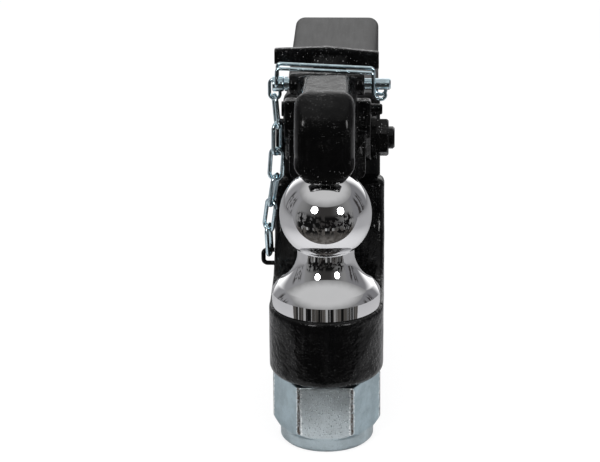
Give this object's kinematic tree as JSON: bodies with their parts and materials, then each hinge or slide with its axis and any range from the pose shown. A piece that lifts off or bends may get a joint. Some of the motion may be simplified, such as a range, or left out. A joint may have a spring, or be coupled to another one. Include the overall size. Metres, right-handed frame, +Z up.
{
  "type": "pintle hook combination hitch",
  "caption": "Combination hitch: chromed ball and zinc nut on a forged arm, under a pivoting hook jaw with latch handle, lock pin, bail and chain, on a square receiver shank.",
  "frame": {"origin": "centre of the hitch ball", "axes": "+X to the right seen from the front, +Y to the rear along the shank, +Z up along the ball's axis"},
  "size_m": [0.0759, 0.2637, 0.2056],
  "materials": {
    "chrome": "mirror chrome plating",
    "zinc": "clear zinc plating, bluish grey",
    "insert": "nylon locking ring",
    "black_paint": "thick glossy black paint with orange peel",
    "satin_black": "thin satin black coat",
    "spring_steel": "bare spring steel"
  },
  "bodies": {
    "hook": {"hitch_ball": "chrome", "ball_nut": "zinc", "nut_insert": "insert", "hook_body": "black_paint", "backing_plate": "satin_black", "shank": "satin_black", "shank_weld": "satin_black", "jaw_bolt": "black_paint", "bolt_washer": "black_paint", "bolt_nut": "black_paint", "chain_staple": "black_paint", "chain": "zinc"},
    "jaw": {"upper_jaw": "black_paint", "latch_pin": "black_paint", "latch_spring": "spring_steel"},
    "latch": {"latch_lever": "black_paint"},
    "locking_pin": {"lock_pin": "zinc", "pin_collar": "zinc"},
    "pin_bail": {"bail": "zinc"}
  },
  "joints": [
    {"name": "jaw_open", "type": "hinge", "parent": "hook", "child": "jaw", "pos_m": [0, 0.06, 0.0235], "axis": [-1, 0, 0], "range_deg": [0, 50], "deforming": ["chain"]},
    {"name": "latch_lift", "type": "hinge", "parent": "jaw", "child": "latch", "pos_m": [0, 0.046, 0.045], "axis": [1, 0, 0], "range_deg": [0, 60]},
    {"name": "lock_pin_pull", "type": "slide", "parent": "jaw", "child": "locking_pin", "axis": [-1, 0, 0], "range_m": [0, 0.045], "deforming": ["chain"]},
    {"name": "bail_swing", "type": "hinge", "parent": "locking_pin", "child": "pin_bail", "pos_m": [-0.028, 0.04, 0.0616], "axis": [0, -1, 0], "range_deg": [0, 170], "deforming": ["chain"]}
  ],
  "couplings": [
    {"joint": "latch_lift", "follows": "jaw_open", "ratio": 1.2},
    {"joint": "lock_pin_pull", "follows": "bail_swing", "m_per_rad": 0.01516}
  ]
}
